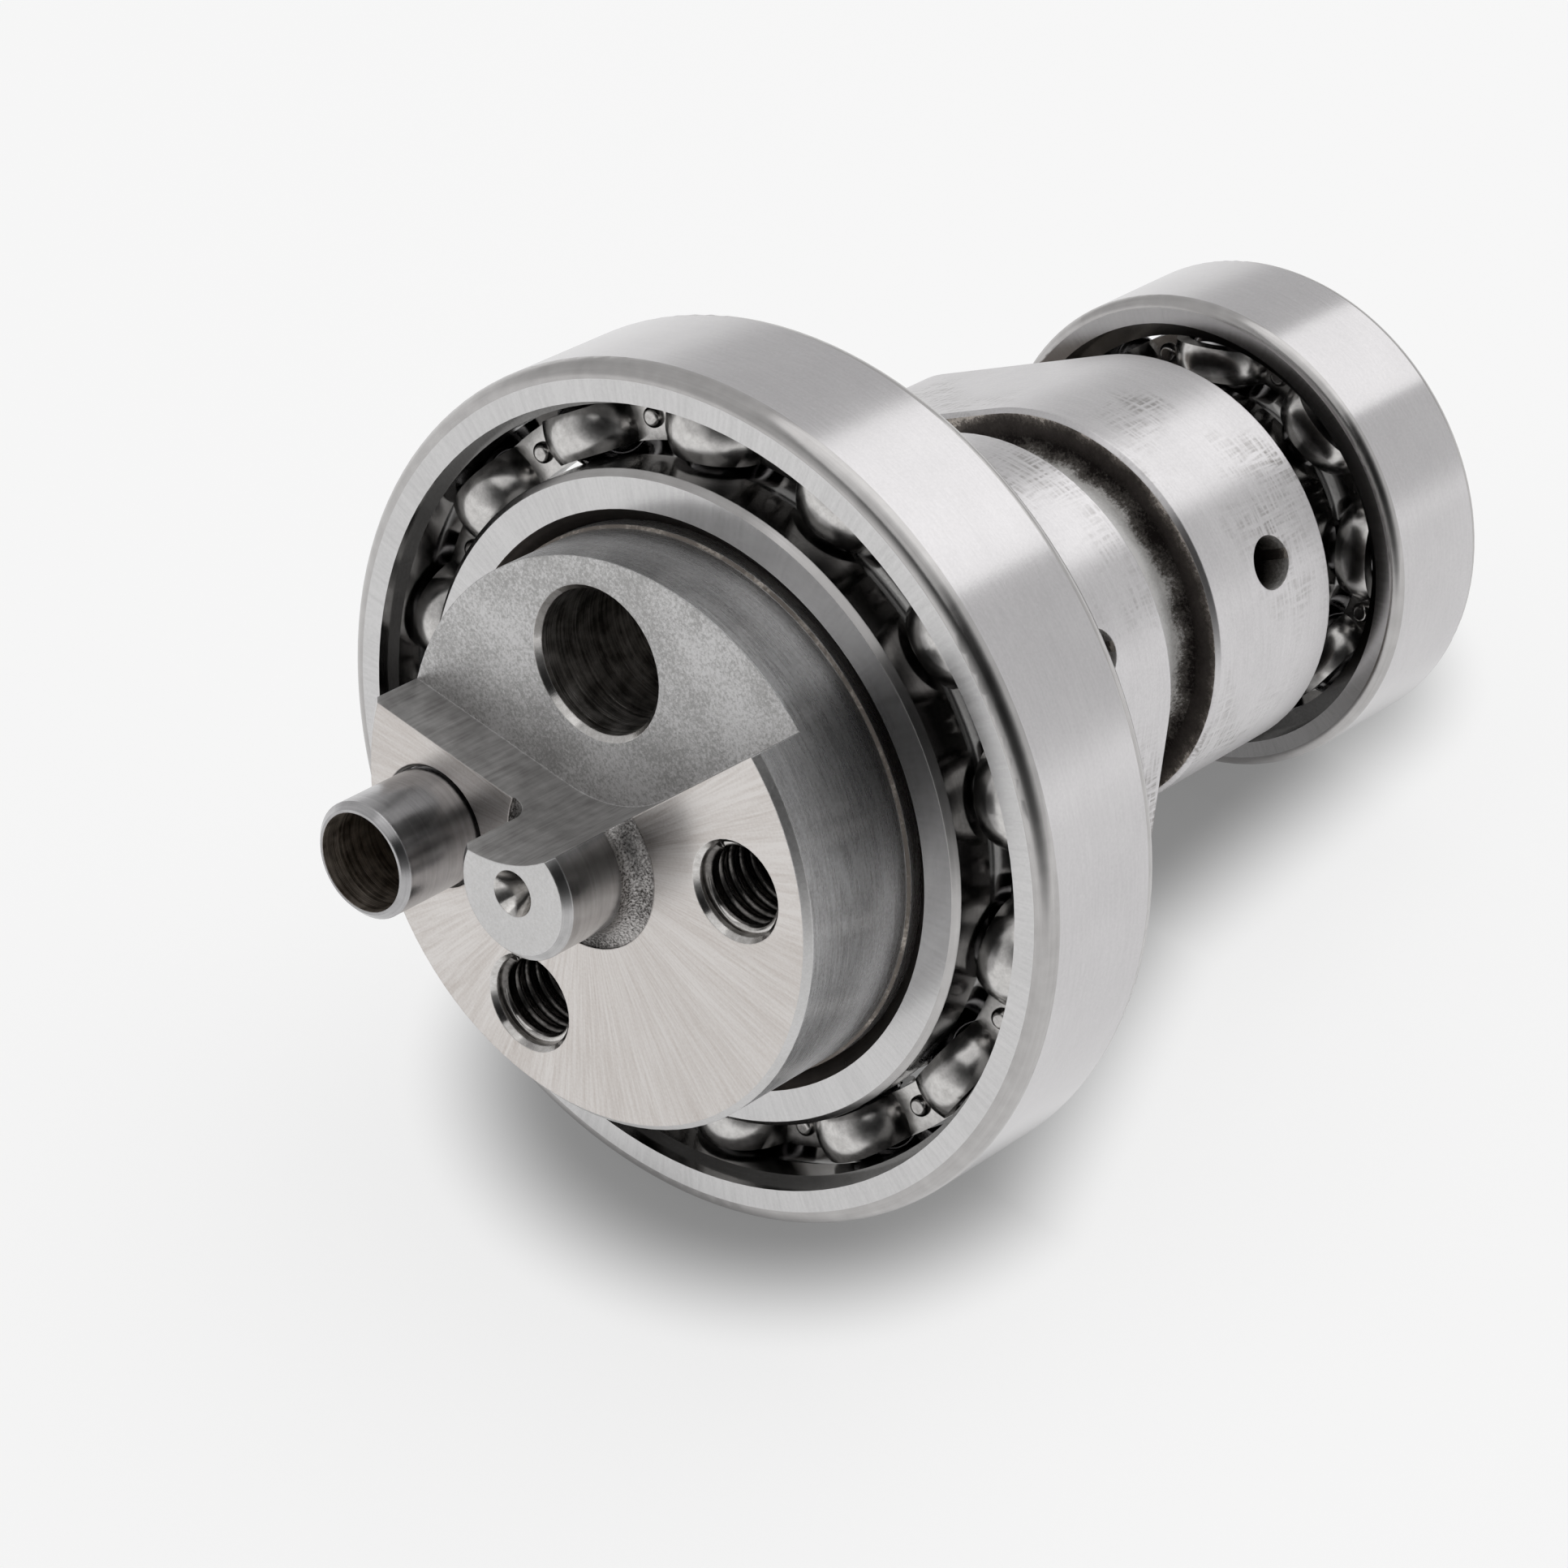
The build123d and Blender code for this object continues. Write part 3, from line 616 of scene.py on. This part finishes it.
# Threads of the two sprocket holes, one ridge in each, on walls of the thread's outside diameter
holes = [(BOLT_CIRCLE * math.cos(math.radians(a)), BOLT_CIRCLE * math.sin(math.radians(a)), THREAD_TOP)
         for a in BOLT_ANGLES]
threads = grown("sprocket_threads", holes, thread_tree(thread_tapped, countersink_cut), {
    "Outside Radius": THREAD_OUTSIDE * MM, "Crest Radius": THREAD_CREST * MM,
    "Mouth Radius": THREAD_MOUTH * MM, "Pitch": THREAD_PITCH * MM, "Length": THREAD_LENGTH * MM})
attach(threads, "camshaft")

# Camera of the photograph: where it stands, the point it looks at, its turn about the view in
# degrees and its lens
STAND, AIM = Vector((0, -197.5, 230.5)), Vector((-1.53, 0, 45.14))
TURN, LENS = -118.09, 119.9
camera = bpy.data.objects.new("camera", bpy.data.cameras.new("camera"))
camera.data.lens, camera.data.sensor_width = LENS, 36.0
camera.data.clip_start = 0.01
camera.location = STAND * MM
camera.rotation_mode = "QUATERNION"
turned = Quaternion((0, 0, 1), math.radians(TURN))
camera.rotation_quaternion = (AIM - STAND).to_track_quat("-Z", "Y") @ turned
bpy.context.scene.collection.objects.link(camera)
bpy.context.scene.camera = camera
bpy.context.scene.view_settings.view_transform = "Standard"

# The surface that the shaft lies along in the photograph touches both outer rings; it stands
# here as a steep pale sheet, because the part itself stands on its rear end
FRONT_REACH, REAR_REACH = 23.5, 14.0
SHEET_TURN = math.radians(-48.3)
LEAN = math.asin((FRONT_REACH - REAR_REACH) / FRONT_BEARING[0])
SHEET_UP = Vector((
    math.cos(LEAN) * math.cos(SHEET_TURN), math.cos(LEAN) * math.sin(SHEET_TURN), math.sin(LEAN)))
SHEET_BACK = REAR_REACH * math.cos(LEAN)
# Height on the shaft that the sheet's middle lies under, the sheet's side, and how far from its
# middle it starts and ends to fade out
SHEET_MIDDLE, SHEET_SIZE, SHEET_CLEAR = 26, 640, (130, 300)
# Glow of the sheet close to the shaft's foot line and away from it, weaker close by so that it paints
# a shadow along that line; where that change starts and ends, the share of the foot line's run that
# pushes it outwards at the wide end, and its length
GLOW_NEAR, GLOW_AWAY = 0.185, 0.74
GLOW_START, GLOW_END = 5.0, 14.0
GLOW_SPREAD, FOOT_END = 0.35, 44.0


def foot_of_axis(height):
    """Point of the sheet that the shaft's axis lies over at a height, in millimetres."""
    return Vector((0, 0, height)) - SHEET_UP * (SHEET_BACK + SHEET_UP.z * height)


def card_material(middle, run):
    """White card, matt: it keeps its real shadow. It glows whiter to the camera and in the metal away
    from the line that the shaft lies over and weaker near it, which paints a shadow along that line.
    It fades out towards its edges and from behind. The middle and the run of that line are given in
    the sheet's own plane."""
    made, tree = new_material("white_card")
    spot = millimetres(tree)
    away = add(tree, "ShaderNodeVectorMath", {0: spot}, operation="LENGTH").outputs["Value"]
    clear = add(tree, "ShaderNodeMapRange", {
        "Value": away, "From Min": SHEET_CLEAR[0], "From Max": SHEET_CLEAR[1]},
        interpolation_type="SMOOTHSTEP").outputs["Result"]
    behind = add(tree, "ShaderNodeNewGeometry").outputs["Backfacing"]
    open_part = add(tree, "ShaderNodeMath", {
        0: clear, 1: behind}, operation="MAXIMUM").outputs[0]
    # Distance from the line, shorter towards its wide end
    from_middle = add(tree, "ShaderNodeVectorMath", {
        0: spot, 1: middle}, operation="SUBTRACT").outputs[0]
    along = add(tree, "ShaderNodeVectorMath", {
        0: from_middle, 1: run.normalized()}, operation="DOT_PRODUCT").outputs["Value"]
    held = add(tree, "ShaderNodeClamp", {
        "Value": along, "Min": -run.length / 2, "Max": run.length / 2}).outputs[0]
    nearest = add(tree, "ShaderNodeVectorMath", {
        0: run.normalized(), "Scale": held}, operation="SCALE").outputs[0]
    reach = add(tree, "ShaderNodeVectorMath", {
        0: from_middle, 1: nearest}, operation="DISTANCE").outputs["Value"]
    wide_end = add(tree, "ShaderNodeMath", {0: held, 1: 0.0}, operation="MAXIMUM").outputs[0]
    reach = add(tree, "ShaderNodeMath", {
        0: wide_end, 1: -GLOW_SPREAD, 2: reach}, operation="MULTIPLY_ADD").outputs[0]
    rays = add(tree, "ShaderNodeLightPath").outputs
    seen = add(tree, "ShaderNodeMath", {
        0: rays["Is Camera Ray"], 1: rays["Is Glossy Ray"]}, operation="ADD").outputs[0]
    # Painted shadow: the glow is weakest along the shaft's foot line and grows away from it
    glow_with_painted_shadow = add(tree, "ShaderNodeMapRange", {
        "Value": reach, "From Min": GLOW_START, "From Max": GLOW_END,
        "To Min": GLOW_NEAR, "To Max": GLOW_AWAY},
        interpolation_type="SMOOTHSTEP").outputs["Result"]
    glow_with_painted_shadow = add(tree, "ShaderNodeMath", {0: seen, 1: glow_with_painted_shadow}, operation="MULTIPLY").outputs[0]
    card = add(tree, "ShaderNodeBsdfDiffuse", {"Color": linear("#8C8C8C")}).outputs["BSDF"]
    glow = add(tree, "ShaderNodeEmission", {
        "Color": linear("#FFFFFF"), "Strength": glow_with_painted_shadow}).outputs["Emission"]
    lit = add(tree, "ShaderNodeAddShader", {0: card, 1: glow}).outputs["Shader"]
    gone = add(tree, "ShaderNodeBsdfTransparent").outputs["BSDF"]
    shown = add(tree, "ShaderNodeMixShader", {0: open_part, 1: lit, 2: gone}).outputs["Shader"]
    add(tree, "ShaderNodeOutputMaterial", {"Surface": shown})
    return made


mesh = bpy.data.meshes.new("lying_sheet")
grid = bmesh.new()
bmesh.ops.create_grid(grid, x_segments=1, y_segments=1, size=SHEET_SIZE / 2 * MM)
grid.to_mesh(mesh)
grid.free()
lying_sheet = bpy.data.objects.new("lying_sheet", mesh)
lying_sheet.rotation_mode = "QUATERNION"
lying_sheet.rotation_quaternion = SHEET_UP.to_track_quat("Z", "Y")
sheet_centre = foot_of_axis(SHEET_MIDDLE)
lying_sheet.location = sheet_centre * MM
bpy.context.scene.collection.objects.link(lying_sheet)
into_sheet = lying_sheet.rotation_quaternion.inverted()
start, end = (into_sheet @ (foot_of_axis(z) - sheet_centre) for z in (0, FOOT_END))
mesh.materials.append(card_material((start + end) / 2, end - start))


def studio(towards_camera):
    """Surroundings: white to the camera; to the metal, a pale table below the lying sheet's level,
    a softer room above it, brighter on one side, and the dim side that the camera stands in."""
    world = bpy.data.worlds.new("studio")
    world.use_nodes = True
    tree = world.node_tree
    tree.nodes.clear()
    look = add(tree, "ShaderNodeTexCoord").outputs["Generated"]
    height = add(tree, "ShaderNodeVectorMath", {
        0: look, 1: SHEET_UP}, operation="DOT_PRODUCT").outputs["Value"]
    level = add(tree, "ShaderNodeMapRange", {
        "Value": height, "From Min": -1.0, "From Max": 1.0}).outputs["Result"]
    room = add(tree, "ShaderNodeValToRGB", {"Fac": level}, stops=[
        (0.0, "#F5F5F5"), (0.47, "#F5F5F5"), (0.53, "#D1D1D1"), (0.8, "#D3D3D3"),
        (1.0, "#D9D9D9")]).outputs["Color"]
    nearness = add(tree, "ShaderNodeVectorMath", {
        0: look, 1: towards_camera}, operation="DOT_PRODUCT").outputs["Value"]
    dim = add(tree, "ShaderNodeValToRGB", {"Fac": nearness}, stops=[
        (0.5, "#FFFFFF"), (0.84, "#6A6A6A"), (0.97, "#2C2C2C")]).outputs["Color"]
    side = add(tree, "ShaderNodeSeparateXYZ", {0: look}).outputs["X"]
    tilt = add(tree, "ShaderNodeMapRange", {
        "Value": side, "From Min": -1.0, "From Max": 1.0,
        "To Min": 1.26, "To Max": 0.9}).outputs["Result"]
    around = add(tree, "ShaderNodeVectorMath", {
        0: room, 1: dim}, operation="MULTIPLY").outputs["Vector"]
    around = add(tree, "ShaderNodeVectorMath", {
        0: around, "Scale": tilt}, operation="SCALE").outputs[0]
    rays = add(tree, "ShaderNodeLightPath").outputs
    pale = add(tree, "ShaderNodeBackground", {
        "Color": linear("#F6F6F6"), "Strength": 1.0}).outputs["Background"]
    about = add(tree, "ShaderNodeBackground", {
        "Color": around, "Strength": 1.0}).outputs["Background"]
    shown = add(tree, "ShaderNodeMixShader", {
        0: rays["Is Camera Ray"], 1: about, 2: pale}).outputs["Shader"]
    add(tree, "ShaderNodeOutputWorld", {"Surface": shown})
    return world


bpy.context.scene.world = studio((STAND - AIM).normalized())

# A long softbox over the shaft: its straight sides give the cylinders their sharp-sided highlight.
# Its turn about the shaft and its distance, width and height in millimetres, and power in watts
SOFTBOX_TURN, SOFTBOX_AWAY = math.radians(40.0), 500
SOFTBOX_WIDTH, SOFTBOX_HEIGHT, SOFTBOX_POWER = 488, 1600, 1.8
lamp = bpy.data.lights.new("overhead_softbox", "AREA")
lamp.shape = "RECTANGLE"
lamp.size, lamp.size_y = SOFTBOX_WIDTH * MM, SOFTBOX_HEIGHT * MM
lamp.energy = SOFTBOX_POWER
towards = Vector((math.sin(SOFTBOX_TURN), -math.cos(SOFTBOX_TURN), 0))
softbox = bpy.data.objects.new("overhead_softbox", lamp)
softbox.location = towards * SOFTBOX_AWAY * MM
softbox.rotation_mode = "QUATERNION"
softbox.rotation_quaternion = towards.to_track_quat("Z", "Y")
bpy.context.scene.collection.objects.link(softbox)
